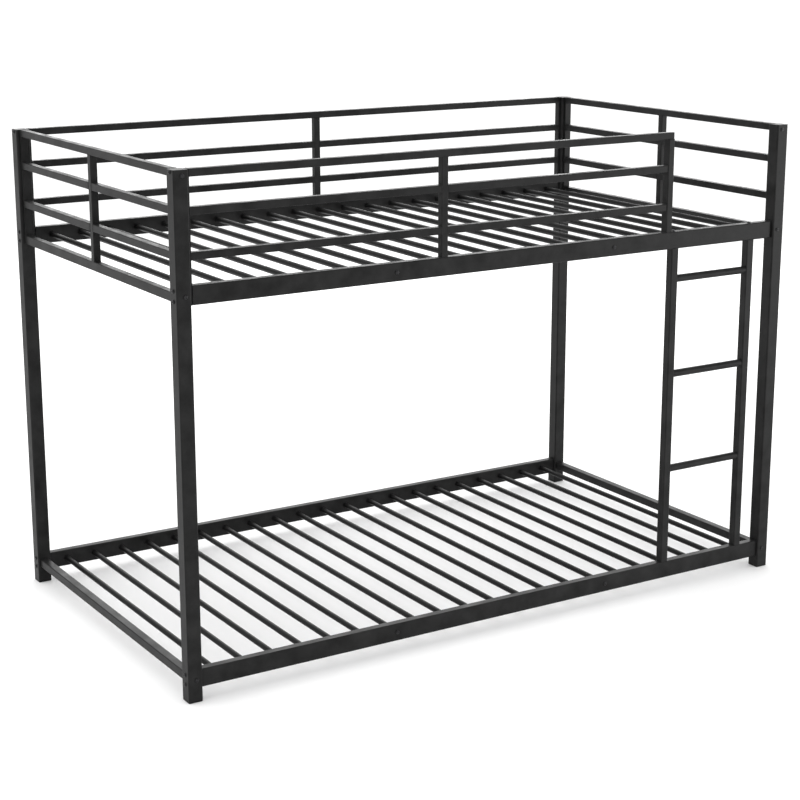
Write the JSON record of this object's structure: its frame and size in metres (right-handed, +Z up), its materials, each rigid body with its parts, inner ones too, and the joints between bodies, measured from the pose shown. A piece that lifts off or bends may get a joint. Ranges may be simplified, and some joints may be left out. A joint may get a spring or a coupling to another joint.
{
  "type": "bunk bed with ladder",
  "caption": "Low black steel bunk bed: square posts, tube side rails, round tube slats, railed upper guards and a straight ladder bolted between the front side rails.",
  "frame": {"origin": "on the floor, at the centre of the bed's footprint", "axes": "+X along the bed's length, +Y from the ladder side to the back, +Z up"},
  "size_m": [1.991, 1.101, 1.3735],
  "materials": {
    "black_steel": "satin",
    "moulded_plastic": "matte",
    "black_fasteners": "satin",
    "zinc_inserts": "satin"
  },
  "bodies": {
    "root": {"back_guard_second_rail": "black_steel", "back_guard_third_rail": "black_steel", "back_guard_top_rail": "black_steel", "back_guard_upright": "black_steel", "back_left_guard_strip": "black_steel", "back_left_post": "black_steel", "back_right_guard_strip": "black_steel", "back_right_post": "black_steel", "end_panel_bolts": "black_fasteners", "end_rail_bolts": "black_fasteners", "end_rail_nut_blocks": "zinc_inserts", "front_guard_end_plug": "moulded_plastic", "front_guard_end_upright": "black_steel", "front_guard_second_rail": "black_steel", "front_guard_third_rail": "black_steel", "front_guard_top_rail": "black_steel", "front_guard_upright": "black_steel", "front_left_guard_strip": "black_steel", "front_left_post": "black_steel", "front_right_guard_strip": "black_steel", "front_right_post": "black_steel", "guard_bolts": "black_fasteners", "ladder_bolts": "black_fasteners", "ladder_left_stile": "black_steel", "ladder_right_stile": "black_steel", "ladder_rung_1": "black_steel", "ladder_rung_2": "black_steel", "ladder_rung_3": "black_steel", "ladder_stile_plugs": "zinc_inserts", "left_panel_back_strip": "black_steel", "left_panel_bottom_rail": "black_steel", "left_panel_front_strip": "black_steel", "left_panel_second_rail": "black_steel", "left_panel_third_rail": "black_steel", "left_panel_top_rail": "black_steel", "left_panel_upright": "black_steel", "lower_back_side_rail": "black_steel", "lower_front_side_rail": "black_steel", "lower_left_end_rail": "black_steel", "lower_right_end_rail": "black_steel", "lower_slats": "black_steel", "panel_nut_blocks": "zinc_inserts", "post_caps": "moulded_plastic", "post_feet": "moulded_plastic", "right_panel_back_strip": "black_steel", "right_panel_bottom_rail": "black_steel", "right_panel_front_strip": "black_steel", "right_panel_second_rail": "black_steel", "right_panel_third_rail": "black_steel", "right_panel_top_rail": "black_steel", "right_panel_upright": "black_steel", "side_rail_bolts": "black_fasteners", "side_rail_nut_blocks": "zinc_inserts", "tie_slat_bolts": "black_fasteners", "tie_slat_plugs": "zinc_inserts", "upper_back_side_rail": "black_steel", "upper_front_side_rail": "black_steel", "upper_slats": "black_steel"}
  },
  "joints": []
}
